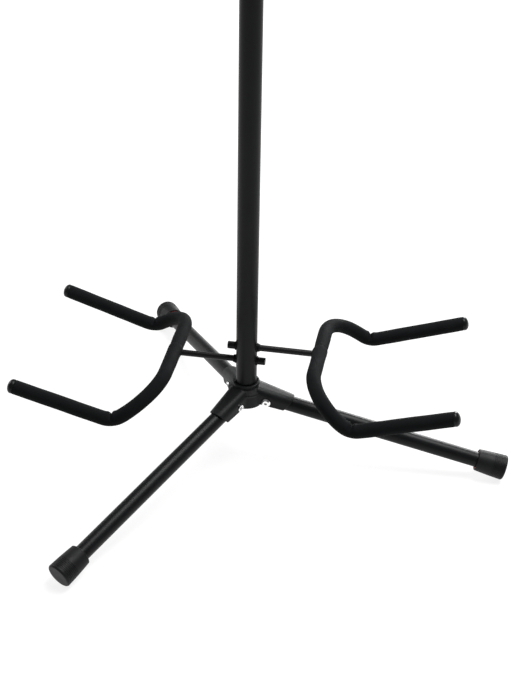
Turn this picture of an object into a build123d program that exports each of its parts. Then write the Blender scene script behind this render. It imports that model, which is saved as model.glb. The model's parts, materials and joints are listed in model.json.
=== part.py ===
"""Double guitar stand: folding tripod, telescopic mast, two foam-covered body cradles and two neck yokes.

Origin on the floor under the mast, +Z up, +X towards the right-hand cradle, which stands over the first leg.
Every piece is made in its own builder block and written to parts/ as one STEP per node.
"""

import os
from math import cos, pi, radians, sin

from build123d import *

os.makedirs("parts", exist_ok=True)

# ---------------------------------------------------------------- driving dimensions, mm and degrees
FIT = 0.05  # radial clearance of a running fit
SNUG = 0.02  # radial clearance of a fixed fit

LEG_SLOPE = 13.3  # below horizontal
LEG_REACH = 332.8  # from the mast axis to the end of the foot, along the leg
LEG_R = 9.55
LEG_WALL = 1.2
FOOT_END_R = 15.5
FOOT_MOUTH_R = 13.35
FOOT_LENGTH = 36.0
FOOT_SWELL = 0.35  # how far the foot's side bulges from a straight taper
FOOT_ROUND = 2.2  # radius of the foot's end edge
FOOT_FLAT = 0.5  # how much of the foot's lower edge bears flat on the floor
HUB_TURN = 0.8  # the hub sits this far round the mast from the cradles' rods
LEGS = {"right": HUB_TURN, "rear": 120.0 + HUB_TURN, "front": 240.0 + HUB_TURN}

# the leg axes meet this high above the floor
HUB_Z = (
    (LEG_REACH - FOOT_ROUND) * sin(radians(LEG_SLOPE))
    + (FOOT_END_R - FOOT_ROUND) * cos(radians(LEG_SLOPE))
    + FOOT_ROUND
    - FOOT_FLAT
)
HUB_SKIRT_R = 21.4
HUB_SKIRT_BOTTOM = -13.4
HUB_SHOULDER_R = 22.4  # the shoulder overhangs the skirt
HUB_SHOULDER = 4.4
HUB_NECK_R = 15.4
HUB_RIM_R = 16.6
HUB_RIM_TOP = 15.4
PIVOT_REACH = 27.4  # along the leg axis
PIVOT_R = 2.5
PIVOT_FACE = 12.4  # half the width across the seats of a bolt's head and nut
SOCKET_START = 12.0
SOCKET_MOUTH = 60.0  # end of the socket's roof
MOUTH_REACH = 53.5  # where the slanting mouth crosses the leg axis
MOUTH_SLANT = 0.5  # how much further the roof reaches, per millimetre above the leg axis
SOCKET_GAP = 0.3  # round the leg tube
SOCKET_SKIRT = 5.6  # how far the socket's cheeks reach below the leg axis

MAST_R = 12.7
MAST_WALL = 1.2
MAST_BOTTOM = HUB_Z - 9.0
MAST_TOP = 640.0
UPPER_R = 11.1
UPPER_WALL = 1.2
UPPER_BOTTOM = 440.0
UPPER_TOP = 920.0

ROD_R = 3.8
BAR_R = 4.0
FOAM_R = 8.65
STUB_END = 23.0  # far end of a rod, from the mast axis
GROMMET_FLANGE_R = 5.6
GROMMET_FLANGE = 1.0  # thickness
GROMMET_NECK_R = 4.9
CAP_LENGTH = 7.0

CRADLES = {
    # side, height of the rod, turn about +X
    "right": (1, HUB_Z + 64.2, -3.9),
    "left": (-1, HUB_Z + 45.3, -1.2),
}
# half a cradle's route in its own frame: out from the mast, sideways, and above the rod
CRADLE_BOW = (88.65, 0.0, 1.95)
CRADLE_BEND = (88.65, 101.75, 1.95)
CRADLE_CREASE = (139.2, 109.3, -34.5)
CRADLE_TIP = (261.3, 113.6, 3.4)
CRADLE_BEND_R = 58.5
CRADLE_CREASE_R = 20.0

YOKES = {"right": (1, 880.0), "left": (-1, 862.0)}
YOKE_BOW = (60.0, 0.0, 2.0)
YOKE_BEND = (60.0, 35.0, 2.0)
YOKE_CREASE = (92.0, 35.0, 2.0)
YOKE_TIP = (136.0, 37.5, 16.0)
YOKE_BEND_R = 24.0
YOKE_CREASE_R = 30.0

CLAMP_BOTTOM = 604.0
CLAMP_TOP = 662.0
CLAMP_R = 17.6
EAR_Y = -24.0
EAR_Z = 633.0
KNOB_R = 15.0

Z_AXIS = Vector(0, 0, 1)


def save(piece, name):
    """Labels a finished piece and writes it as its own node."""
    piece.part.label = name
    export_step(piece.part, f"parts/{name}.step")


# ---------------------------------------------------------------- planes
def leg_direction(azimuth):
    a, s = radians(azimuth), radians(LEG_SLOPE)
    return Vector(cos(a) * cos(s), sin(a) * cos(s), -sin(s))


def side_direction(azimuth):
    """Level and square to the leg, anticlockwise seen from above."""
    a = radians(azimuth)
    return Vector(-sin(a), cos(a), 0)


def leg_section(azimuth, reach):
    """Plane square to a leg at a distance along it: local x is sideways, local y is up."""
    origin = Vector(0, 0, HUB_Z) + leg_direction(azimuth) * reach
    return Plane(origin=origin, x_dir=side_direction(azimuth), z_dir=leg_direction(azimuth))


def leg_profile(azimuth):
    """Upright plane through a leg: local x runs out along the leg, local y is square to it and up."""
    return Plane(
        origin=(0, 0, HUB_Z),
        x_dir=leg_direction(azimuth),
        z_dir=-side_direction(azimuth),
    )


def rod_frame(side, height, turn=0.0):
    """Frame of a cradle or yoke: local x runs out along the rod, local z is up, turned about the row's +X."""
    t = radians(turn)
    return Plane(origin=(0, 0, height), x_dir=(side, 0, 0), z_dir=(0, -sin(t), cos(t)))


def square_to(path, at=0.0):
    """Plane square to a path, for a sweep's section."""
    return Plane(origin=path @ at, z_dir=path % at)


# ---------------------------------------------------------------- hub
def cheek_outline(half_width, height, corner):
    """Inverted U of one socket: flat cheeks, rounded top, local y up from the leg axis."""
    with BuildSketch() as outline:
        with BuildLine():
            Polyline(
                (-half_width, height - corner),
                (-half_width, -SOCKET_SKIRT),
                (half_width, -SOCKET_SKIRT),
                (half_width, height - corner),
            )
            RadiusArc((half_width, height - corner), (half_width - corner, height), -corner)
            Line((half_width - corner, height), (corner - half_width, height))
            RadiusArc((corner - half_width, height), (-half_width, height - corner), -corner)
        make_face()
    return outline.sketch


with BuildPart() as hub:
    with BuildSketch(Plane.XZ) as core_profile:
        with BuildLine():
            Polyline(
                (0, HUB_Z + HUB_SKIRT_BOTTOM),
                (HUB_SKIRT_R, HUB_Z + HUB_SKIRT_BOTTOM),
                (HUB_SKIRT_R, HUB_Z + HUB_SHOULDER - 1.0),
                (HUB_SHOULDER_R, HUB_Z + HUB_SHOULDER),
                (HUB_SHOULDER_R, HUB_Z + HUB_SHOULDER + 1.0),
                (HUB_NECK_R, HUB_Z + HUB_RIM_TOP - 4.2),
                (HUB_NECK_R, HUB_Z + HUB_RIM_TOP - 2.9),
                (HUB_RIM_R, HUB_Z + HUB_RIM_TOP - 2.4),
                (HUB_RIM_R, HUB_Z + HUB_RIM_TOP),
                (0, HUB_Z + HUB_RIM_TOP),
                close=True,
            )
        make_face()
    revolve(axis=Axis.Z)
    for azimuth in LEGS.values():
        with BuildSketch(leg_section(azimuth, SOCKET_START)):
            add(cheek_outline(14.0, 15.0, 9.0))
        with BuildSketch(leg_section(azimuth, SOCKET_MOUTH)):
            add(cheek_outline(11.3, 11.0, 9.6))
        loft()
        with BuildSketch(leg_profile(azimuth)):
            with BuildLine():
                cut = 25.0
                Polyline(
                    (MOUTH_REACH - MOUTH_SLANT * cut, -cut),
                    (MOUTH_REACH + MOUTH_SLANT * cut, cut),
                    (SOCKET_MOUTH + cut, cut),
                    (SOCKET_MOUTH + cut, -cut),
                    close=True,
                )
            make_face()
        extrude(amount=cut, both=True, mode=Mode.SUBTRACT)
    # room for the leg tubes: a round channel, a pocket round the pivot, and an open slot below for the fold
    for azimuth in LEGS.values():
        with BuildSketch(leg_section(azimuth, PIVOT_REACH)):
            Circle(LEG_R + SOCKET_GAP)
        extrude(amount=SOCKET_MOUTH, mode=Mode.SUBTRACT)
        with BuildSketch(leg_profile(azimuth)):
            with Locations((PIVOT_REACH, 0)):
                Circle(LEG_R + SOCKET_GAP)
        extrude(amount=LEG_R + SOCKET_GAP, both=True, mode=Mode.SUBTRACT)
        with BuildSketch(leg_profile(azimuth)):
            with BuildLine():
                start = PIVOT_REACH - LEG_R - SOCKET_GAP
                drop = 40.0
                Polyline(
                    (start, 0),
                    (SOCKET_MOUTH * 2, 0),
                    (SOCKET_MOUTH * 2, -drop),
                    (start - drop * sin(radians(LEG_SLOPE)), -drop),
                    close=True,
                )
            make_face()
        extrude(amount=LEG_R + SOCKET_GAP, both=True, mode=Mode.SUBTRACT)
        with BuildSketch(leg_profile(azimuth)):
            with Locations((PIVOT_REACH, 0)):
                Circle(PIVOT_R + SNUG)
        extrude(amount=30, both=True, mode=Mode.SUBTRACT)
        # flat seats for the bolt's head and its nut
        for hand in (1, -1):
            with BuildSketch(leg_profile(azimuth).offset(hand * PIVOT_FACE)):
                with Locations((PIVOT_REACH, 0)):
                    Circle(5.9)
            extrude(amount=hand * 12.0, mode=Mode.SUBTRACT)
    with BuildSketch(Plane.XY.offset(MAST_BOTTOM)):
        Circle(MAST_R + SNUG)
    extrude(amount=60, mode=Mode.SUBTRACT)
    with BuildSketch(Plane.XY.offset(HUB_Z + HUB_SKIRT_BOTTOM)):
        Circle(3.2)
    extrude(amount=10, mode=Mode.SUBTRACT)
save(hub, "hub")


# ---------------------------------------------------------------- pivots
def pivot_plane(azimuth):
    """Square to a leg's pivot bolt, at its middle: local z points to the bolt's head."""
    origin = Vector(0, 0, HUB_Z) + leg_direction(azimuth) * PIVOT_REACH
    return Plane(origin=origin, x_dir=leg_direction(azimuth), z_dir=-side_direction(azimuth))


with BuildPart() as pivot_bolts:
    for azimuth in LEGS.values():
        across = pivot_plane(azimuth)
        with BuildSketch(across.offset(-PIVOT_FACE)):
            Circle(PIVOT_R)
        extrude(amount=2 * PIVOT_FACE + 0.2)
        with BuildSketch(across.offset(PIVOT_FACE)):
            Circle(5.5)
        extrude(amount=1.6)
        with BuildSketch(across.offset(PIVOT_FACE + 1.6)):
            Circle(5.5)
        with BuildSketch(across.offset(PIVOT_FACE + 3.4)):
            Circle(3.6)
        loft()
        with BuildSketch(across.offset(PIVOT_FACE + 1.4)):
            RegularPolygon(2.3, 6)
        extrude(amount=4, mode=Mode.SUBTRACT)
save(pivot_bolts, "pivot_bolts")

with BuildPart() as pivot_nuts:
    for azimuth in LEGS.values():
        across = pivot_plane(azimuth)
        with BuildSketch(across.offset(-PIVOT_FACE)):
            Circle(4.2)
            Circle(2.6, mode=Mode.SUBTRACT)
        extrude(amount=-1.6)
        with BuildSketch(across.offset(-PIVOT_FACE - 1.6)):
            Circle(3.9)
            Circle(2.6, mode=Mode.SUBTRACT)
        extrude(amount=-0.6)
save(pivot_nuts, "pivot_nuts")


# ---------------------------------------------------------------- legs
def leg_tube(azimuth):
    with BuildPart() as tube:
        with BuildSketch(leg_section(azimuth, PIVOT_REACH - LEG_R)):
            Circle(LEG_R)
            Circle(LEG_R - LEG_WALL, mode=Mode.SUBTRACT)
        extrude(amount=LEG_REACH - 3.0 - PIVOT_REACH + LEG_R)
        # the inner end is rounded about the pivot, so that it turns inside the hub
        with BuildSketch(leg_profile(azimuth)):
            with Locations((PIVOT_REACH - LEG_R, 0)):
                Rectangle(2 * LEG_R, 4 * LEG_R)
            with Locations((PIVOT_REACH, 0)):
                Circle(LEG_R, mode=Mode.SUBTRACT)
        extrude(amount=2 * LEG_R, both=True, mode=Mode.SUBTRACT)
        with BuildSketch(leg_profile(azimuth)):
            with Locations((PIVOT_REACH, 0)):
                Circle(PIVOT_R + FIT)
        extrude(amount=2 * LEG_R, both=True, mode=Mode.SUBTRACT)
    return tube


def leg_plug(azimuth):
    """Nylon plug that keeps the bolt from crushing the tube."""
    with BuildPart() as plug:
        with BuildSketch(leg_section(azimuth, PIVOT_REACH - 4.2)):
            Circle(LEG_R - LEG_WALL - SNUG)
        extrude(amount=22.0)
        with BuildSketch(leg_section(azimuth, PIVOT_REACH + 8.0)):
            Circle(4.5)
        extrude(amount=20.0, mode=Mode.SUBTRACT)
        with BuildSketch(leg_profile(azimuth)):
            with Locations((PIVOT_REACH, 0)):
                Circle(PIVOT_R + FIT)
        extrude(amount=2 * LEG_R, both=True, mode=Mode.SUBTRACT)
    return plug


RIB_PITCH = 2.0
RIB_DEPTH = 0.35
RIB_COUNT = 7
RING_SEAT_R = 12.0
RING_SEAT = 2.6  # depth of the seat in the foot's mouth
RING_THICKNESS = 1.6


def foot_radius(reach):
    grown = (reach - LEG_REACH + FOOT_LENGTH) / FOOT_LENGTH
    return FOOT_MOUTH_R + (FOOT_END_R - FOOT_MOUTH_R) * grown + FOOT_SWELL * sin(pi * grown)


def leg_foot(azimuth):
    """Rubber foot: a sleeve that widens to its end, ribbed over the outer half, closed by a 3 mm end wall."""
    mouth = LEG_REACH - FOOT_LENGTH
    outline = [
        (mouth + RING_SEAT, LEG_R + SNUG),
        (mouth + RING_SEAT, RING_SEAT_R),
        (mouth, RING_SEAT_R),
        (mouth, FOOT_MOUTH_R - 0.4),
        (mouth + 0.4, foot_radius(mouth + 0.4)),
        (mouth + 9.0, foot_radius(mouth + 9.0)),
    ]
    for i in range(RIB_COUNT):
        groove = LEG_REACH - FOOT_ROUND - 2.0 - (RIB_COUNT - 1 - i) * RIB_PITCH
        for step, depth in ((-0.5, 0), (-0.25, RIB_DEPTH), (0.25, RIB_DEPTH), (0.5, 0)):
            outline.append((groove + step, foot_radius(groove + step) - depth))
    rounded = (LEG_REACH - FOOT_ROUND, FOOT_END_R)
    with BuildPart() as foot:
        with BuildSketch(leg_profile(azimuth)):
            with BuildLine():
                Polyline(*outline, rounded)
                RadiusArc(rounded, (LEG_REACH, FOOT_END_R - FOOT_ROUND), FOOT_ROUND)
                Polyline(
                    (LEG_REACH, FOOT_END_R - FOOT_ROUND),
                    (LEG_REACH, 0),
                    (LEG_REACH - 3.0, 0),
                    (LEG_REACH - 3.0, LEG_R + SNUG),
                    outline[0],
                )
            make_face()
        revolve(axis=Axis(Vector(0, 0, HUB_Z), leg_direction(azimuth)))
        with BuildSketch(Plane.XY):
            Circle(2 * LEG_REACH)
        extrude(amount=-20, mode=Mode.SUBTRACT)
    return foot


def leg_ring(azimuth):
    """Thin accent ring, sunk a little way into the mouth of the foot."""
    with BuildPart() as ring:
        with BuildSketch(leg_section(azimuth, LEG_REACH - FOOT_LENGTH + RING_SEAT - RING_THICKNESS)):
            Circle(RING_SEAT_R - SNUG)
            Circle(LEG_R + SNUG, mode=Mode.SUBTRACT)
        extrude(amount=RING_THICKNESS)
        chamfer(ring.edges().filter_by(GeomType.CIRCLE).group_by(SortBy.RADIUS)[-1], 0.2)
    return ring


for name, azimuth in LEGS.items():
    save(leg_tube(azimuth), f"{name}_leg_tube")
    save(leg_plug(azimuth), f"{name}_leg_plug")
    save(leg_foot(azimuth), f"{name}_leg_foot")
    save(leg_ring(azimuth), f"{name}_leg_ring")


# ---------------------------------------------------------------- lower mast
def tube_wall(outer, wall, bottom, top):
    with BuildPart() as tube:
        with BuildSketch(Plane.XY.offset(bottom)):
            Circle(outer)
            Circle(outer - wall, mode=Mode.SUBTRACT)
        extrude(amount=top - bottom)
    return tube.part


def rod_holes(heights, radius):
    """Cutters along X, right through a tube, for the rods and their grommets."""
    with BuildPart() as cutters:
        for height in heights:
            with BuildSketch(Plane.YZ):
                with Locations((0, height)):
                    Circle(radius)
            extrude(amount=2 * MAST_R, both=True)
    return cutters.part


CRADLE_HEIGHTS = [height for _, height, _ in CRADLES.values()]
with BuildPart() as lower_tube:
    add(tube_wall(MAST_R, MAST_WALL, MAST_BOTTOM, MAST_TOP))
    add(rod_holes(CRADLE_HEIGHTS, GROMMET_NECK_R + SNUG), mode=Mode.SUBTRACT)
    # two slits let the clamp squeeze the tube's end
    with BuildSketch(Plane.XZ):
        with Locations((0, MAST_TOP - 12.0)):
            Rectangle(2.0, 24.1)
    extrude(amount=2 * MAST_R, both=True, mode=Mode.SUBTRACT)
save(lower_tube, "lower_tube")

PLUG_TOP = MAST_BOTTOM + 22.0
with BuildPart() as mast_plug:
    with BuildSketch(Plane.XY.offset(MAST_BOTTOM)):
        Circle(MAST_R - MAST_WALL - SNUG)
    extrude(amount=PLUG_TOP - MAST_BOTTOM)
    with BuildSketch(Plane.XY.offset(MAST_BOTTOM)):
        Circle(3.0 + SNUG)
    extrude(amount=18.0, mode=Mode.SUBTRACT)
    chamfer(mast_plug.faces().sort_by(Axis.Z)[-1].edges(), 1.0)
save(mast_plug, "mast_plug")

HUB_UNDERSIDE = HUB_Z + HUB_SKIRT_BOTTOM
with BuildPart() as hub_washer:
    with BuildSketch(Plane.XY.offset(HUB_UNDERSIDE - 1.2)):
        Circle(8.0)
        Circle(3.2, mode=Mode.SUBTRACT)
    extrude(amount=1.2)
save(hub_washer, "hub_washer")

with BuildPart() as hub_screw:
    with BuildSketch(Plane.XY.offset(HUB_UNDERSIDE - 5.2)):
        Circle(5.2)
    extrude(amount=4.0)
    fillet(hub_screw.faces().sort_by(Axis.Z)[0].edges(), 1.6)
    with BuildSketch(Plane.XY.offset(HUB_UNDERSIDE - 1.2)):
        Circle(3.0)
    extrude(amount=18.0)
    with BuildSketch(Plane.XY.offset(HUB_UNDERSIDE - 5.2)):
        RegularPolygon(2.6, 6)
    extrude(amount=2.2, mode=Mode.SUBTRACT)
save(hub_screw, "hub_screw")


def grommets(heights, tube_r):
    """A flanged bush on each side of the tube for each rod, its flange hugging the tube."""
    saddle = tube_r + GROMMET_FLANGE
    with BuildPart() as bushes:
        for height in heights:
            for side in (1, -1):
                outward = rod_frame(side, height)
                across = Plane(origin=outward.origin, x_dir=(0, 1, 0), z_dir=outward.x_dir)
                with BuildSketch(across.offset(tube_r - 2.4)):
                    Circle(GROMMET_FLANGE_R)
                extrude(amount=saddle - tube_r + 2.4)
        with BuildSketch(Plane.XY.offset(min(heights) - 20)):
            Circle(tube_r + SNUG)
        extrude(amount=max(heights) - min(heights) + 40, mode=Mode.SUBTRACT)
        for height in heights:
            for side in (1, -1):
                outward = rod_frame(side, height)
                across = Plane(origin=outward.origin, x_dir=(0, 1, 0), z_dir=outward.x_dir)
                with BuildSketch(across.offset(tube_r - 1.6)):
                    Circle(GROMMET_NECK_R)
                extrude(amount=1.6 + GROMMET_FLANGE)
        add(rod_holes(heights, ROD_R + FIT), mode=Mode.SUBTRACT)
    return bushes


save(grommets(CRADLE_HEIGHTS, MAST_R), "rod_grommets")


# ---------------------------------------------------------------- cradles and yokes
def local(frame, x, y, z):
    return frame.from_local_coords((x, y, z))


def half_route(frame, hand, corners):
    """Route of half a bar, from the middle of its bow to the tip of one arm, on one side of the rod."""
    return [local(frame, x, hand * y, z) for x, y, z in corners]


def shortened(points, amount):
    """The same route with its last run ending earlier."""
    run = points[-1] - points[-2]
    return points[:-1] + [points[-1] - run.normalized() * amount]


def swept_bar(front, back, radii):
    """Round bar along both halves of the route, in one piece from tip to tip."""
    front, back = shortened(front, CAP_LENGTH - 3.5), shortened(back, CAP_LENGTH - 3.5)
    points = front[:0:-1] + back[1:]
    with BuildPart() as bar:
        with BuildLine() as route:
            FilletPolyline(*points, radius=radii[::-1] + radii)
        with BuildSketch(square_to(route.wire())):
            Circle(BAR_R)
        sweep()
    return bar


def foam_sleeve(half, radii, frame, hand):
    """Foam tube over one half of the bar, notched at the seam for the rod."""
    with BuildPart() as foam:
        with BuildLine() as route:
            FilletPolyline(*shortened(half, CAP_LENGTH), radius=radii)
        with BuildSketch(square_to(route.wire())):
            Circle(FOAM_R)
            Circle(BAR_R + FIT, mode=Mode.SUBTRACT)
        sweep()
        rod_end = Plane(origin=frame.origin, x_dir=frame.y_dir, z_dir=frame.x_dir)
        with BuildSketch(rod_end.offset(MAST_R)):
            Circle(ROD_R + FIT)
        extrude(amount=half[0].X * frame.x_dir.X - MAST_R, mode=Mode.SUBTRACT)
    return foam


def end_caps(front, back):
    """Domed caps that close the two sleeves and hold the ends of the bar."""
    shoulder = 1.6
    with BuildPart() as caps:
        for half in (front, back):
            along = (half[-1] - half[-2]).normalized()
            base = half[-1] - along * CAP_LENGTH
            with BuildSketch(Plane(origin=base, x_dir=along, z_dir=along.cross(Z_AXIS))):
                with BuildLine():
                    Polyline((3.5, 0), (3.5, BAR_R + SNUG), (0, BAR_R + SNUG), (0, FOAM_R), (shoulder, FOAM_R))
                    EllipticalCenterArc((shoulder, 0), CAP_LENGTH - shoulder, FOAM_R, arc_size=90)
                    Line((CAP_LENGTH, 0), (3.5, 0))
                make_face()
            revolve(axis=Axis(base, along))
    return caps


def rod(frame, reach, bar):
    """Straight rod from its capped far end, through the mast, to the bar that it is welded to."""
    with BuildPart() as piece:
        across = Plane(origin=frame.origin, x_dir=frame.y_dir, z_dir=frame.x_dir)
        with BuildSketch(across.offset(-STUB_END + 1.5)):
            Circle(ROD_R)
        extrude(amount=STUB_END - 1.5 + reach)
        add(bar, mode=Mode.SUBTRACT)
    return piece


def rod_collar(frame, tube_r):
    """Ring pressed on the rod, just outside the near grommet."""
    with BuildPart() as ring:
        across = Plane(origin=frame.origin, x_dir=frame.y_dir, z_dir=frame.x_dir)
        with BuildSketch(across.offset(tube_r + GROMMET_FLANGE + 0.2)):
            Circle(ROD_R + 1.0)
            Circle(ROD_R + SNUG, mode=Mode.SUBTRACT)
        extrude(amount=2.2)
        chamfer(ring.edges().filter_by(GeomType.CIRCLE).group_by(SortBy.RADIUS)[-1], 0.4)
    return ring


def stub_cap(frame, tube_r):
    """Cap on the far end of the rod, just outside the far grommet."""
    with BuildPart() as cap:
        across = Plane(origin=frame.origin, x_dir=frame.y_dir, z_dir=frame.x_dir)
        with BuildSketch(across.offset(-STUB_END)):
            Circle(ROD_R + 0.75)
        extrude(amount=STUB_END - tube_r - GROMMET_FLANGE - 0.2)
        chamfer(cap.edges().filter_by(GeomType.CIRCLE), 0.35)
        with BuildSketch(across.offset(-STUB_END + 1.5)):
            Circle(ROD_R + SNUG)
        extrude(amount=STUB_END, mode=Mode.SUBTRACT)
    return cap


def make_holder(name, frame, tube_r, front, back, radii):
    """All the pieces of one cradle or yoke."""
    bar = swept_bar(front, back, radii)
    reach = front[0].X * frame.x_dir.X
    save(bar, f"{name}_bar")
    save(rod(frame, reach, bar.part), f"{name}_rod")
    save(foam_sleeve(front, radii, frame, -1), f"{name}_foam_front")
    save(foam_sleeve(back, radii, frame, 1), f"{name}_foam_back")
    save(end_caps(front, back), f"{name}_end_caps")
    save(rod_collar(frame, tube_r), f"{name}_collar")
    save(stub_cap(frame, tube_r), f"{name}_stub_cap")


CRADLE_ROUTE = [CRADLE_BOW, CRADLE_BEND, CRADLE_CREASE, CRADLE_TIP]
for name, (side, height, turn) in CRADLES.items():
    frame = rod_frame(side, height, turn)
    radii = [CRADLE_BEND_R, CRADLE_CREASE_R]
    # a cradle on the left has its own left and right swapped, so the front arm is the one towards -Y
    front, back = half_route(frame, -side, CRADLE_ROUTE), half_route(frame, side, CRADLE_ROUTE)
    make_holder(f"{name}_cradle", frame, MAST_R, front, back, radii)

YOKE_ROUTE = [YOKE_BOW, YOKE_BEND, YOKE_CREASE, YOKE_TIP]
for name, (side, height) in YOKES.items():
    frame = rod_frame(side, height)
    radii = [YOKE_BEND_R, YOKE_CREASE_R]
    front, back = half_route(frame, -side, YOKE_ROUTE), half_route(frame, side, YOKE_ROUTE)
    make_holder(f"{name}_yoke", frame, UPPER_R, front, back, radii)


# ---------------------------------------------------------------- height clamp at the top of the lower tube
EAR_FACE = 11.0  # half the width across the clamp's two ears
SCREW_R = 3.0
with BuildPart() as clamp_body:
    with BuildSketch(Plane.XY.offset(CLAMP_BOTTOM)):
        Circle(CLAMP_R)
    extrude(amount=CLAMP_TOP - CLAMP_BOTTOM)
    with BuildSketch(Plane.YZ):
        with Locations((EAR_Y / 2 - 5.0, EAR_Z)):
            RectangleRounded(2 * abs(EAR_Y) - 10.0, 30.0, 8.0)
    extrude(amount=EAR_FACE, both=True)
    fillet(clamp_body.faces().filter_by(Axis.Z).sort_by(Axis.Z)[-1].edges(), 1.5)
    fillet(clamp_body.faces().filter_by(Axis.Z).sort_by(Axis.Z)[0].edges(), 1.5)
    with BuildSketch(Plane.XY.offset(CLAMP_BOTTOM)):
        Circle(MAST_R + SNUG)
        with Locations((0, -30)):
            Rectangle(3.0, 60)
    extrude(amount=CLAMP_TOP - CLAMP_BOTTOM, mode=Mode.SUBTRACT)
    with BuildSketch(Plane.YZ):
        with Locations((EAR_Y, EAR_Z)):
            Circle(SCREW_R + FIT)
    extrude(amount=2 * CLAMP_R, both=True, mode=Mode.SUBTRACT)
    with BuildSketch(Plane.YZ.offset(-EAR_FACE)):
        with Locations((EAR_Y, EAR_Z)):
            RegularPolygon(5.8, 6)
    extrude(amount=5.0, mode=Mode.SUBTRACT)
save(clamp_body, "clamp_body")

with BuildPart() as clamp_liner:
    with BuildSketch(Plane.XY.offset(MAST_TOP)):
        Circle(MAST_R - SNUG)
    extrude(amount=CLAMP_TOP - MAST_TOP)
    with BuildSketch(Plane.XY.offset(CLAMP_TOP)):
        Circle(MAST_R + 2.6)
    extrude(amount=2.4)
    fillet(clamp_liner.edges().group_by(Axis.Z)[-1], 1.0)
    with BuildSketch(Plane.XY.offset(MAST_TOP)):
        Circle(UPPER_R + FIT)
        with Locations((0, -10)):
            Rectangle(2.0, 20)
    extrude(amount=40, mode=Mode.SUBTRACT)
save(clamp_liner, "clamp_liner")

with BuildPart() as clamp_nut:
    with BuildSketch(Plane.YZ.offset(-EAR_FACE)):
        with Locations((EAR_Y, EAR_Z)):
            RegularPolygon(5.75, 6)
            Circle(SCREW_R + FIT, mode=Mode.SUBTRACT)
    extrude(amount=5.0)
save(clamp_nut, "clamp_nut")

KNOB_BACK = EAR_FACE + 0.4
KNOB_FACE = KNOB_BACK + 5.0
with BuildPart() as knob_screw:
    with BuildSketch(Plane.YZ.offset(-EAR_FACE - 2.0)):
        with Locations((EAR_Y, EAR_Z)):
            Circle(SCREW_R)
    extrude(amount=2.0 + EAR_FACE + KNOB_FACE + 4.0)
    chamfer(knob_screw.faces().sort_by(Axis.X)[0].edges(), 0.5)
save(knob_screw, "knob_screw")

with BuildPart() as clamp_knob:
    with BuildSketch(Plane.YZ.offset(KNOB_BACK)):
        with Locations((EAR_Y, EAR_Z)):
            Circle(8.0)
    extrude(amount=KNOB_FACE - KNOB_BACK)
    with BuildSketch(Plane.YZ.offset(KNOB_FACE)):
        with Locations((EAR_Y, EAR_Z)):
            Circle(KNOB_R)
            with PolarLocations(KNOB_R + 3.6, 6):
                Circle(6.0, mode=Mode.SUBTRACT)
    extrude(amount=12.0)
    fillet(clamp_knob.faces().sort_by(Axis.X)[-1].edges(), 1.6)
    with BuildSketch(Plane.YZ.offset(KNOB_BACK)):
        with Locations((EAR_Y, EAR_Z)):
            Circle(SCREW_R + SNUG)
    extrude(amount=KNOB_FACE + 4.0 - KNOB_BACK, mode=Mode.SUBTRACT)
save(clamp_knob, "clamp_knob")

# ---------------------------------------------------------------- upper mast
YOKE_HEIGHTS = [height for _, height in YOKES.values()]
with BuildPart() as upper_tube:
    add(tube_wall(UPPER_R, UPPER_WALL, UPPER_BOTTOM, UPPER_TOP))
    add(rod_holes(YOKE_HEIGHTS, GROMMET_NECK_R + SNUG), mode=Mode.SUBTRACT)
save(upper_tube, "upper_tube")
save(grommets(YOKE_HEIGHTS, UPPER_R), "yoke_grommets")

with BuildPart() as guide_bush:
    with BuildSketch(Plane.XY.offset(UPPER_BOTTOM - 8.0)):
        Circle(MAST_R - MAST_WALL - FIT)
    extrude(amount=8.0)
    chamfer(guide_bush.edges().group_by(Axis.Z)[0], 0.8)
    with BuildSketch(Plane.XY.offset(UPPER_BOTTOM)):
        Circle(UPPER_R - UPPER_WALL - SNUG)
    extrude(amount=16.0)
    with BuildSketch(Plane.XY.offset(UPPER_BOTTOM - 8.0)):
        Circle(7.0)
    extrude(amount=24.0, mode=Mode.SUBTRACT)
save(guide_bush, "guide_bush")

with BuildPart() as top_cap:
    with BuildSketch(Plane.XY.offset(UPPER_TOP)):
        Circle(UPPER_R + 0.8)
    extrude(amount=6.0)
    fillet(top_cap.edges().group_by(Axis.Z)[-1], 4.0)
    with BuildSketch(Plane.XY.offset(UPPER_TOP - 14.0)):
        Circle(UPPER_R - UPPER_WALL - SNUG)
    extrude(amount=14.0)
save(top_cap, "top_cap")
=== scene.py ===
import json
import math

import bmesh
import bpy
from mathutils import Matrix, Quaternion, Vector, noise


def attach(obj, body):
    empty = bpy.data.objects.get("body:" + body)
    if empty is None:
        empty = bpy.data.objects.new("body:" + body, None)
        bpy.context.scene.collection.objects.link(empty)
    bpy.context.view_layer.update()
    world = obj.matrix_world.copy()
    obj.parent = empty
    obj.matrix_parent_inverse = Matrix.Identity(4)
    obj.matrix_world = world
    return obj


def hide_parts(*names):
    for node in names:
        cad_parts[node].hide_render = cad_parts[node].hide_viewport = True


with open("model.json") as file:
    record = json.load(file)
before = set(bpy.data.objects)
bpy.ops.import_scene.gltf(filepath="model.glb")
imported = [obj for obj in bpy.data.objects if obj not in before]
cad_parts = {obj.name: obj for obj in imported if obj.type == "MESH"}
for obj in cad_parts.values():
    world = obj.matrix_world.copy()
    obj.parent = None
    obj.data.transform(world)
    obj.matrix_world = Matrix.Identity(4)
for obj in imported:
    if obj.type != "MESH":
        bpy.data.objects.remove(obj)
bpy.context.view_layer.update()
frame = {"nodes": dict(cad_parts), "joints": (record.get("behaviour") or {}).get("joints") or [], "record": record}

nodes = frame["nodes"]
pivots = {j["name"]: Vector(j.get("pos_m", (0, 0, 0))) for j in frame["joints"]}
print("frame loaded:", len(nodes), "nodes")


# ---- small helpers for the node trees

def newMaterial(name):
    mat = bpy.data.materials.new(name)
    mat.use_nodes = True
    tree = mat.node_tree
    return mat, tree, tree.nodes["Principled BSDF"]


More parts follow.
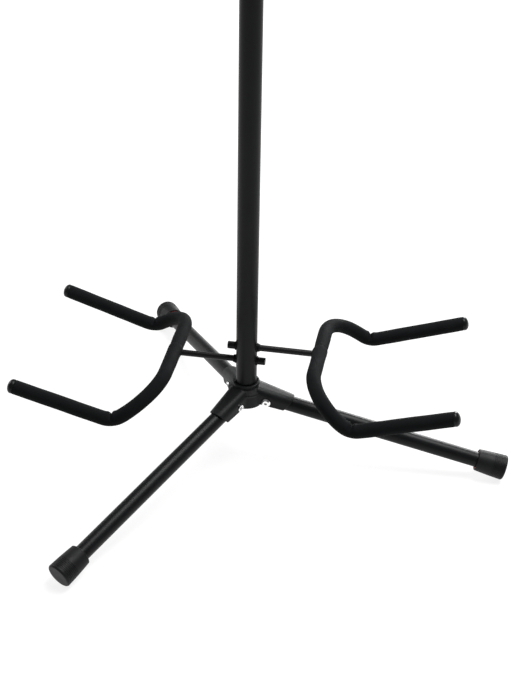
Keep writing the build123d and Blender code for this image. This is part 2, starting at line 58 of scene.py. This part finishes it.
def coords(tree, stretch=(1, 1, 1)):
    # object coordinates in metres, so every scale below is per metre
    place = tree.nodes.new("ShaderNodeTexCoord")
    mapping = tree.nodes.new("ShaderNodeMapping")
    mapping.inputs["Scale"].default_value = stretch
    tree.links.new(place.outputs["Object"], mapping.inputs["Vector"])
    return mapping.outputs["Vector"]


def noiseNode(tree, vector, scale, detail=3.0, rough=0.5):
    cloud = tree.nodes.new("ShaderNodeTexNoise")
    cloud.inputs["Scale"].default_value = scale
    cloud.inputs["Detail"].default_value = detail
    cloud.inputs["Roughness"].default_value = rough
    tree.links.new(vector, cloud.inputs["Vector"])
    return cloud.outputs["Fac"]


def voronoiNode(tree, vector, scale, feature="F1"):
    cells = tree.nodes.new("ShaderNodeTexVoronoi")
    cells.feature = feature
    cells.inputs["Scale"].default_value = scale
    tree.links.new(vector, cells.inputs["Vector"])
    return cells.outputs["Distance"]


def spread(tree, value, low, high, start=0.3, end=0.7):
    # noise sits mostly between start and end, so that band is spread over low to high
    band = tree.nodes.new("ShaderNodeMapRange")
    band.inputs["From Min"].default_value = start
    band.inputs["From Max"].default_value = end
    band.inputs["To Min"].default_value = low
    band.inputs["To Max"].default_value = high
    tree.links.new(value, band.inputs["Value"])
    return band.outputs["Result"]


def tint(tree, value, dark, light):
    ramp = tree.nodes.new("ShaderNodeValToRGB")
    ramp.color_ramp.elements[0].color = (*dark, 1)
    ramp.color_ramp.elements[1].color = (*light, 1)
    ramp.color_ramp.elements[0].position = 0.3
    ramp.color_ramp.elements[1].position = 0.7
    tree.links.new(value, ramp.inputs["Fac"])
    return ramp.outputs["Color"]


def bump(tree, shader, height, depth, under=None):
    relief = tree.nodes.new("ShaderNodeBump")
    relief.inputs["Distance"].default_value = depth
    tree.links.new(height, relief.inputs["Height"])
    if under is not None:
        tree.links.new(under, relief.inputs["Normal"])
    tree.links.new(relief.outputs["Normal"], shader.inputs["Normal"])
    return relief.outputs["Normal"]


# ---- finishes: scales are per metre, and the fine grains are multiples of each finish's own grain

coatGrain = {"cloudScale": 38.0, "gritScale": 4.5, "gritDepth": 0.3}
foamGrain = {"patchScale": 60.0, "fineScale": 1.7, "fineDepth": 0.6}
mouldGrain = {"flowScale": 45.0, "fineScale": 2.0, "fineDepth": 0.5}
rubberGrain = {
    "cloudScale": 70.0, "grainScale": 1400.0, "grainDepth": 0.00004,
    "dustColour": (0.16, 0.155, 0.145, 1),
}
steelGrain = {"markScale": 320.0}


def powderCoat(name, settings):
    # satin black powder coat: orange peel, a finer grit in it, and slightly uneven gloss
    mat, tree, shader = newMaterial(name)
    at = coords(tree)
    peel = noiseNode(tree, at, settings["peelScale"], 2.0)
    grit = noiseNode(tree, at, settings["peelScale"] * coatGrain["gritScale"], 2.0)
    cloud = noiseNode(tree, at, coatGrain["cloudScale"], 4.0)
    tree.links.new(tint(tree, cloud, settings["dark"], settings["light"]), shader.inputs["Base Color"])
    tree.links.new(spread(tree, peel, *settings["gloss"]), shader.inputs["Roughness"])
    shader.inputs["Specular IOR Level"].default_value = settings["specular"]
    first = bump(tree, shader, peel, settings["peelDepth"])
    bump(tree, shader, grit, settings["peelDepth"] * coatGrain["gritDepth"], first)
    return mat


def foamSkin(name, settings):
    # closed-cell foam: open pores cut by the extruder, a finer grain over them, and a dull skin
    mat, tree, shader = newMaterial(name)
    at = coords(tree)
    pores = voronoiNode(tree, at, settings["poreScale"])
    fine = noiseNode(tree, at, settings["poreScale"] * foamGrain["fineScale"], 3.0, 0.6)
    patches = noiseNode(tree, at, foamGrain["patchScale"], 4.0)
    tree.links.new(tint(tree, patches, settings["dark"], settings["light"]), shader.inputs["Base Color"])
    tree.links.new(spread(tree, patches, *settings["gloss"]), shader.inputs["Roughness"])
    shader.inputs["Specular IOR Level"].default_value = settings["specular"]
    first = bump(tree, shader, pores, settings["poreDepth"])
    bump(tree, shader, fine, settings["poreDepth"] * foamGrain["fineDepth"], first)
    return mat


def mouldedPlastic(name, settings):
    # spark-textured nylon or vinyl: a fine leathery grain with a little flow unevenness
    mat, tree, shader = newMaterial(name)
    at = coords(tree)
    grain = voronoiNode(tree, at, settings["grainScale"], "SMOOTH_F1")
    fine = noiseNode(tree, at, settings["grainScale"] * mouldGrain["fineScale"], 3.0)
    flow = noiseNode(tree, at, mouldGrain["flowScale"], 5.0)
    tree.links.new(tint(tree, flow, settings["dark"], settings["light"]), shader.inputs["Base Color"])
    tree.links.new(spread(tree, flow, *settings["gloss"]), shader.inputs["Roughness"])
    shader.inputs["Specular IOR Level"].default_value = settings["specular"]
    first = bump(tree, shader, grain, settings["grainDepth"])
    bump(tree, shader, fine, settings["grainDepth"] * mouldGrain["fineDepth"], first)
    return mat


def rubber(name, settings):
    # moulded rubber with floor dust caught low on the feet
    mat, tree, shader = newMaterial(name)
    at = coords(tree)
    cloud = noiseNode(tree, at, rubberGrain["cloudScale"], 5.0, 0.6)
    grain = noiseNode(tree, at, rubberGrain["grainScale"], 2.0)
    clean = tint(tree, cloud, settings["dark"], settings["light"])
    split = tree.nodes.new("ShaderNodeSeparateXYZ")
    tree.links.new(at, split.inputs["Vector"])
    low = spread(tree, split.outputs["Z"], 1.0, 0.0, 0.0, settings["dustHeight"])
    dusty = tree.nodes.new("ShaderNodeMath")
    dusty.operation = "MULTIPLY"
    tree.links.new(low, dusty.inputs[0])
    tree.links.new(spread(tree, cloud, 0.0, settings["dust"]), dusty.inputs[1])
    mix = tree.nodes.new("ShaderNodeMix")
    mix.data_type = "RGBA"
    tree.links.new(dusty.outputs["Value"], mix.inputs["Factor"])
    tree.links.new(clean, mix.inputs["A"])
    mix.inputs["B"].default_value = rubberGrain["dustColour"]
    tree.links.new(mix.outputs["Result"], shader.inputs["Base Color"])
    tree.links.new(spread(tree, cloud, *settings["gloss"]), shader.inputs["Roughness"])
    shader.inputs["Specular IOR Level"].default_value = settings["specular"]
    bump(tree, shader, grain, rubberGrain["grainDepth"])
    return mat


def platedSteel(name, settings):
    # bright plating with fine lathe lines and faint handling marks
    mat, tree, shader = newMaterial(name)
    at = coords(tree, settings["lines"])
    lathe = noiseNode(tree, at, settings["lineScale"], 2.0)
    marks = noiseNode(tree, coords(tree), steelGrain["markScale"], 6.0, 0.65)
    tree.links.new(tint(tree, marks, settings["dark"], settings["light"]), shader.inputs["Base Color"])
    shader.inputs["Metallic"].default_value = 1.0
    tree.links.new(spread(tree, marks, *settings["gloss"]), shader.inputs["Roughness"])
    bump(tree, shader, lathe, settings["lineDepth"])
    return mat


finishes = {
    "powder_coat": powderCoat("powderCoatBlack", {
        "dark": (0.0042, 0.0046, 0.0050), "light": (0.0060, 0.0066, 0.0070), "gloss": (0.34, 0.44),
        "specular": 0.14, "peelScale": 900.0, "peelDepth": 0.00003}),
    "rod_coat": powderCoat("rodCoatBlack", {
        "dark": (0.0062, 0.0058, 0.0066), "light": (0.0085, 0.0078, 0.0088), "gloss": (0.34, 0.44),
        "specular": 0.2, "peelScale": 1300.0, "peelDepth": 0.00002}),
    "foam": foamSkin("foamBlack", {
        "dark": (0.0052, 0.0058, 0.0062), "light": (0.0078, 0.0085, 0.0090), "gloss": (0.72, 0.88),
        "specular": 0.055, "poreScale": 1500.0, "poreDepth": 0.00007}),
    "moulded_black": mouldedPlastic("hubNylonBlack", {
        "dark": (0.0065, 0.0070, 0.0074), "light": (0.0088, 0.0096, 0.0100), "gloss": (0.40, 0.52),
        "specular": 0.15, "grainScale": 1500.0, "grainDepth": 0.00004}),
    "knob_plastic": mouldedPlastic("knobPlasticBlack", {
        "dark": (0.0075, 0.0075, 0.008), "light": (0.011, 0.011, 0.0115), "gloss": (0.38, 0.5),
        "specular": 0.2, "grainScale": 1300.0, "grainDepth": 0.00003}),
    "grommet_plastic": mouldedPlastic("grommetBlack", {
        "dark": (0.004, 0.004, 0.0045), "light": (0.006, 0.006, 0.0065), "gloss": (0.42, 0.52),
        "specular": 0.12, "grainScale": 1800.0, "grainDepth": 0.00002}),
    "cap_vinyl": mouldedPlastic("capVinylDark", {
        "dark": (0.0055, 0.0060, 0.0064), "light": (0.0080, 0.0086, 0.0090), "gloss": (0.26, 0.36),
        "specular": 0.14, "grainScale": 900.0, "grainDepth": 0.000015}),
    "accent_ring": mouldedPlastic("accentRed", {
        "dark": (0.22, 0.012, 0.012), "light": (0.30, 0.018, 0.016), "gloss": (0.3, 0.42),
        "specular": 0.3, "grainScale": 1200.0, "grainDepth": 0.00001}),
    "nylon": mouldedPlastic("nylonNatural", {
        "dark": (0.40, 0.385, 0.35), "light": (0.48, 0.465, 0.42), "gloss": (0.4, 0.55),
        "specular": 0.4, "grainScale": 1100.0, "grainDepth": 0.00002}),
    "foot_rubber": rubber("footRubber", {
        "dark": (0.0055, 0.0060, 0.0064), "light": (0.0080, 0.0086, 0.0090), "gloss": (0.46, 0.58),
        "specular": 0.17, "dust": 0.10, "dustHeight": 0.012}),
    "bright_steel": platedSteel("chromePlate", {
        "dark": (0.90, 0.90, 0.90), "light": (0.96, 0.96, 0.96), "gloss": (0.10, 0.18),
        "lines": (1, 1, 1), "lineScale": 900.0, "lineDepth": 0.000003}),
    "zinc_steel": platedSteel("zincPlate", {
        "dark": (0.5, 0.51, 0.54), "light": (0.62, 0.62, 0.62), "gloss": (0.28, 0.42),
        "lines": (1, 1, 6), "lineScale": 700.0, "lineDepth": 0.00001}),
}

slotOf = {row["node"]: row["material_slot"] for row in frame["record"]["subparts"]}
for name, node in nodes.items():
    mat = finishes[slotOf[name]]
    if not node.material_slots:
        node.data.materials.append(mat)
    for place in node.material_slots:
        place.material = mat
print("finishes on", len(nodes), "nodes")


# ---- hub: a moulding, so its arms run into its body in soft fillets

def deselectAll():
    bpy.ops.object.select_all(action="DESELECT")


def activate(piece):
    deselectAll()
    piece.select_set(True)
    bpy.context.view_layer.objects.active = piece


def applyAll(piece):
    activate(piece)
    for mod in list(piece.modifiers):
        bpy.ops.object.modifier_apply(modifier=mod.name)


hubMoulding = {
    "weld": 0.00001, "voxel": 0.0006, "passes": 8, "pull": 0.5,
    "legSlope": math.radians(13.3),
    "slotReach": 0.0106,           # half the width of a leg's slot, and a little of its cheeks
}


def inLegSlot(point, pivot):
    # true inside the slot where a leg folds, whose walls have to stay flat
    azimuth = math.atan2(pivot.y, pivot.x)
    outward = Vector((math.cos(azimuth), math.sin(azimuth), 0))
    side = Vector((-math.sin(azimuth), math.cos(azimuth), 0))
    slope = hubMoulding["legSlope"]
    rise = outward * math.sin(slope) + Vector((0, 0, math.cos(slope)))
    offset = point - pivot
    reach = hubMoulding["slotReach"]
    across = offset.dot(side)
    atPivot = (offset - side * across).length < reach
    inChannel = math.hypot(across, max(0.0, offset.dot(rise))) < reach and offset.dot(outward) > -reach
    return abs(across) < reach and (atPivot or inChannel)


def mouldHub():
    shell = bpy.data.objects.new("hubShell", nodes["hub"].data.copy())
    bpy.context.scene.collection.objects.link(shell)
    activate(shell)
    bpy.ops.object.mode_set(mode="EDIT")
    bpy.ops.mesh.select_all(action="SELECT")
    bpy.ops.mesh.remove_doubles(threshold=hubMoulding["weld"])
    bpy.ops.object.mode_set(mode="OBJECT")
    grid = shell.modifiers.new("grid", "REMESH")
    grid.mode = "VOXEL"
    grid.voxel_size = hubMoulding["voxel"]
    applyAll(shell)
    legPivots = [pivots[f"{leg}_leg_fold"] for leg in ("right", "rear", "front")]
    free = [v.index for v in shell.data.vertices if not any(inLegSlot(v.co, pivot) for pivot in legPivots)]
    shell.vertex_groups.new(name="outside").add(free, 1.0, "REPLACE")
    soften = shell.modifiers.new("soften", "SMOOTH")
    soften.vertex_group = "outside"
    soften.factor = hubMoulding["pull"]
    soften.iterations = hubMoulding["passes"]
    applyAll(shell)
    bpy.ops.object.shade_smooth()
    shell.data.materials.clear()
    shell.data.materials.append(finishes["moulded_black"])
    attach(shell, "stand")
    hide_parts("hub")
    return shell


hubShell = mouldHub()
print("hub moulded:", len(hubShell.data.polygons), "faces")


# ---- foam sleeves on the cradles and yokes

cradleShape = {
    # corners of half a bar: out from the mast, sideways, and above the rod
    "bow": (0.08865, 0.0, 0.00195), "bend": (0.08865, 0.10175, 0.00195),
    "crease": (0.1392, 0.1093, -0.0345), "tip": (0.2613, 0.1136, 0.0034),
    "bendRadius": 0.0585, "creaseRadius": 0.020,
    "foldDepth": 0.0034, "foldWidth": 0.0016,
}
yokeShape = {
    "bow": (0.060, 0.0, 0.002), "bend": (0.060, 0.035, 0.002),
    "crease": (0.092, 0.035, 0.002), "tip": (0.136, 0.0375, 0.016),
    "bendRadius": 0.024, "creaseRadius": 0.030,
    "foldDepth": 0.0006, "foldWidth": 0.003,
}
sleeve = {
    "radius": 0.00865, "bore": 0.00405, "capLength": 0.007,
    "overlap": 0.0052,             # the front sleeve's end reaches this far past the rod
    "seamGap": 0.0002,             # left between the two sleeves of a bar
    "step": 0.0014, "fineStep": 0.0005, "sides": 48, "leastSteps": 6,
    "lump": 0.00020, "lumpScale": 55, "lumpReach": 0.008,    # how uneven the foam's diameter is
    "wrinkle": 0.00022, "wrinklePitch": 0.0047, "wrinkleSpan": 0.8,
    "foldTilt": 0.45,              # the fold sits this far round from the inside of the crease
    "bulge": 0.30, "bulgeAt": 0.0062, "bulgeWidth": 0.0034,
    "flatten": 0.22, "flattenWidth": 0.010,
    "swell": 0.00025, "swellWidth": 0.009,
    "weldSwell": 0.00075, "weldWidth": 0.0055,
    "tuck": 0.00055, "tuckWidth": 0.012,
    "endLength": 0.0012, "endRound": 0.00045,
    "sharpAngle": math.radians(50), "fill": 0.9,
}


def holderPoint(side, height, turn, local):
    # from a cradle's own axes (out along its rod, sideways, up) to the row frame, turned about the rod
    x, y, z = local
    out, across = side * x, side * y
    c, s = math.cos(turn), math.sin(turn)
    return Vector((out, across * c - z * s, height + across * s + z * c))


def halfRoute(shape, side, height, turn, hand, startShift):
    # corner points of half a bar, from just past the middle of the bow to the foam's end at the cap
    spots = [(x, hand * y, z) for x, y, z in (shape[corner] for corner in ("bow", "bend", "crease", "tip"))]
    spots[0] = (shape["bow"][0], hand * startShift, shape["bow"][2])
    points = [holderPoint(side, height, turn, spot) for spot in spots]
    last = (points[3] - points[2]).normalized()
    points[3] = points[3] - last * sleeve["capLength"]
    return points


def walkRoute(points, radii, fineAt):
    # straight runs joined by arcs; every row is position, direction, distance along, and inward
    # direction of the arc it is in; the steps are fine in the arc whose number is fineAt
    rows = []
    travelled = 0.0
    here = points[0]
    middles = []

    def run(end):
        nonlocal travelled, here
        gap = end - here
        count = max(1, round(gap.length / sleeve["step"]))
        direction = gap.normalized()
        for i in range(count):
            rows.append((here + gap * (i / count), direction, travelled + gap.length * i / count, None))
        travelled += gap.length
        here = end

    for k, radius in enumerate(radii):
        corner = points[k + 1]
        before = (corner - points[k]).normalized()
        after = (points[k + 2] - corner).normalized()
        angle = before.angle(after)
        back = radius * math.tan(angle / 2)
        run(corner - before * back)
        inward = (after - before * after.dot(before)).normalized()
        axis = before.cross(after).normalized()
        centre = here + inward * radius
        step = sleeve["fineStep"] if k == fineAt else sleeve["step"]
        count = max(sleeve["leastSteps"], round(radius * angle / step))
        middles.append((travelled + radius * angle / 2, inward, axis))
        for i in range(count):
            turned = Quaternion(axis, angle * i / count)
            place = centre + turned @ (-inward * radius)
            rows.append((place, turned @ before, travelled + radius * angle * i / count, turned @ inward))
        travelled += radius * angle
        here = centre + Quaternion(axis, angle) @ (-inward * radius)
    run(points[-1])
    rows.append((points[-1], (points[-1] - points[-2]).normalized(), travelled, None))
    return rows, middles, travelled


def hump(distance, width):
    return math.exp(-(distance / width) ** 2)


def aroundPoints(normal, binormal):
    # outward directions of one ring of the sleeve
    for i in range(sleeve["sides"]):
        turnBy = 2 * math.pi * i / sleeve["sides"]
        yield normal * math.cos(turnBy) + binormal * math.sin(turnBy)


def joinRings(mesh, a, b, flip=False):
    for i in range(sleeve["sides"]):
        j = (i + 1) % sleeve["sides"]
        quad = (a[i], a[j], b[j], b[i])
        mesh.faces.new(quad[::-1] if flip else quad)


def foldChange(shape, fromFold, inner, outer):
    # the fold pinched into the inside of the tight bend, with the foam bulging on both sides
    change = -shape["foldDepth"] * math.exp(-abs(fromFold) / shape["foldWidth"]) * inner ** 1.3
    bulge = hump(abs(fromFold) - sleeve["bulgeAt"], sleeve["bulgeWidth"])
    change += shape["foldDepth"] * sleeve["bulge"] * bulge * inner ** 1.5
    change -= shape["foldDepth"] * sleeve["flatten"] * hump(fromFold, sleeve["flattenWidth"]) * outer ** 2
    return change


def wrinkleChange(shape, fromBend, facing):
    # shallow ripples on the inside of the wide bend
    span = shape["bendRadius"] * sleeve["wrinkleSpan"]
    if abs(fromBend) >= span:
        return 0.0
    fade = math.cos(fromBend / span * math.pi / 2) ** 2
    ripple = math.sin(fromBend / sleeve["wrinklePitch"] * 2 * math.pi)
    return sleeve["wrinkle"] * ripple * fade * max(0.0, facing) ** 2


def seamChange(isFront, along, fromRod, facingMast):
    # the front sleeve swells over the weld, and the back one is tucked against it
    if not isFront:
        return -sleeve["tuck"] * hump(along, sleeve["tuckWidth"])
    weld = sleeve["weldSwell"] * hump(fromRod, sleeve["weldWidth"]) * max(0.0, facingMast) ** 2
    return sleeve["swell"] * hump(fromRod, sleeve["swellWidth"]) + weld


def endChange(along, total):
    # cut ends are slightly rounded
    change = 0.0
    for gap in (along, total - along):
        if gap < sleeve["endLength"]:
            change -= sleeve["endRound"] * (1 - gap / sleeve["endLength"]) ** 2
    return change


def foamSleeve(name, shape, side, height, turn, isFront, body, node):
    hand = -side if isFront else side
    shift = -sleeve["overlap"] if isFront else sleeve["overlap"] + sleeve["seamGap"]
    points = halfRoute(shape, side, height, turn, hand, shift)
    rows, middles, total = walkRoute(points, [shape["bendRadius"], shape["creaseRadius"]], 1)
    foldAt, foldIn, foldAxis = middles[1]
    foldIn = Quaternion(foldAxis, sleeve["foldTilt"]) @ foldIn
    bendAt = middles[0][0]
    toMast = Vector((-side, 0, 0))
    seed = Vector((height * 31.7, side * 5.1 + hand * 2.3, 0))    # so that no two sleeves are alike
    normal = rows[0][1].orthogonal().normalized()
    lastDirection = rows[0][1]
    mesh = bmesh.new()
    rings = []
    for place, direction, along, inward in rows:
        normal = lastDirection.rotation_difference(direction) @ normal
        normal = (normal - direction * normal.dot(direction)).normalized()
        lastDirection = direction
        binormal = direction.cross(normal)
        ring = []
        for out in aroundPoints(normal, binormal):
            facing = out.dot(foldIn)
            lumps = noise.noise((place + out * sleeve["lumpReach"]) * sleeve["lumpScale"] + seed)
            radius = sleeve["radius"] + sleeve["lump"] * lumps
            radius += foldChange(shape, along - foldAt, max(0.0, facing), max(0.0, -facing))
            if inward is not None:
                radius += wrinkleChange(shape, along - bendAt, out.dot(inward))
            radius += seamChange(isFront, along, along + shift, out.dot(toMast))
            radius += endChange(along, total)
            ring.append(mesh.verts.new(place + out * radius))
        rings.append((ring, place, normal, binormal))
    for (a, *_), (b, *_) in zip(rings, rings[1:]):
        joinRings(mesh, a, b)
    # each end is closed back to the bar by one more ring and a lid
    for (ring, place, normal, binormal), flip in ((rings[0], True), (rings[-1], False)):
        lid = [mesh.verts.new(place + out * sleeve["bore"]) for out in aroundPoints(normal, binormal)]
        joinRings(mesh, ring, lid, flip)
        mesh.faces.new(lid[::-1] if flip else lid)
    bmesh.ops.recalc_face_normals(mesh, faces=mesh.faces)
    data = bpy.data.meshes.new(name)
    mesh.to_mesh(data)
    mesh.free()
    piece = bpy.data.objects.new(name, data)
    bpy.context.scene.collection.objects.link(piece)
    activate(piece)
    bpy.ops.object.shade_smooth_by_angle(angle=sleeve["sharpAngle"])
    data.materials.append(finishes["foam"])
    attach(piece, body)
    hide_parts(node)
    return piece


holders = {
    # body: shape, side, height of the rod, turn about the rod at rest
    "right_cradle": (cradleShape, 1, pivots["right_cradle_turn"].z, math.radians(-3.9)),
    "left_cradle": (cradleShape, -1, pivots["left_cradle_turn"].z, math.radians(-1.2)),
    "right_yoke": (yokeShape, 1, pivots["right_yoke_turn"].z, 0.0),
    "left_yoke": (yokeShape, -1, pivots["left_yoke_turn"].z, 0.0),
}
for body, (shape, side, height, turn) in holders.items():
    for end in ("front", "back"):
        sleeveName = f"{body}FoamSkin.{end}"
        foamSleeve(sleeveName, shape, side, height, turn, end == "front", body, f"{body}_foam_{end}")
print("foam sleeves made")


# ---- floor, light and camera

stage = {
    "floorSize": 9.0, "floorDrop": -0.0002,
    "floorTone": 0.20, "floorGlow": 0.84, "cloudScale": 3.0, "roughness": 0.9, "specular": 0.1,
    "world": 0.17,
}


def makeStage():
    deselectAll()
    bpy.ops.mesh.primitive_plane_add(size=stage["floorSize"], location=(0, 0, stage["floorDrop"]))
    floor = bpy.context.active_object
    floor.name = "floor"
    mat, tree, shader = newMaterial("floorPaper")
    at = coords(tree)
    cloud = noiseNode(tree, at, stage["cloudScale"], 3.0)
    tone = stage["floorTone"]
    tree.links.new(tint(tree, cloud, (tone, tone, tone), (tone * 1.01, tone * 1.01, tone)),
                   shader.inputs["Base Color"])
    shader.inputs["Roughness"].default_value = stage["roughness"]
    shader.inputs["Specular IOR Level"].default_value = stage["specular"]
    shader.inputs["Emission Color"].default_value = (1, 1, 1, 1)
    shader.inputs["Emission Strength"].default_value = stage["floorGlow"]
    floor.data.materials.append(mat)
    world = bpy.data.worlds.new("studio")
    bpy.context.scene.world = world
    world.use_nodes = True
    sky = world.node_tree.nodes["Background"]
    sky.inputs["Color"].default_value = (1, 1, 1, 1)
    sky.inputs["Strength"].default_value = stage["world"]


lamps = {
    # name: place, aim, size, watts
    "overhead": ((0.7, 0.45, 2.4), (0.05, 0.1, 0.0), 1.4, 84.0),
    "backLeft": ((-2.3, 1.1, 1.0), (0, 0, 0.1), 0.9, 18.0),
    "behind": ((0.6, 2.4, 0.7), (0.0, 0.0, 0.05), 1.0, 46.0),
}


def makeLamps():
    for name, (place, aim, size, watts) in lamps.items():
        bpy.ops.object.light_add(type="AREA", location=place)
        lamp = bpy.context.active_object
        lamp.name = name
        lamp.data.size = size
        lamp.data.energy = watts
        lamp.rotation_mode = "QUATERNION"
        lamp.rotation_quaternion = (Vector(aim) - Vector(place)).to_track_quat("-Z", "Y")


cameraRig = {
    "spot": (0.2367, -1.3620, 1.0665),
    "azimuth": math.radians(7.86), "elevation": math.radians(32.91), "roll": math.radians(1.85),
    "lens": 70.78, "sensor": 36.0, "shift": (-0.0353, -0.0206), "clip": (0.05, 50),
}


def makeCamera():
    bpy.ops.object.camera_add(location=cameraRig["spot"])
    camera = bpy.context.active_object
    a, e, r = cameraRig["azimuth"], cameraRig["elevation"], cameraRig["roll"]
    back = Vector((math.sin(a) * math.cos(e), -math.cos(a) * math.cos(e), math.sin(e)))
    right = Vector((math.cos(a), math.sin(a), 0))
    up = back.cross(right)
    tiltedRight = right * math.cos(r) + up * math.sin(r)
    tiltedUp = up * math.cos(r) - right * math.sin(r)
    camera.rotation_mode = "QUATERNION"
    camera.rotation_quaternion = Matrix((tiltedRight, tiltedUp, back)).transposed().to_quaternion()
    camera.data.lens = cameraRig["lens"]
    camera.data.sensor_width = cameraRig["sensor"]
    camera.data.shift_x, camera.data.shift_y = cameraRig["shift"]
    camera.data.clip_start, camera.data.clip_end = cameraRig["clip"]
    bpy.context.scene.camera = camera


makeStage()
makeLamps()
makeCamera()
bpy.context.scene.view_settings.view_transform = "Standard"
print("stage, light and camera set")
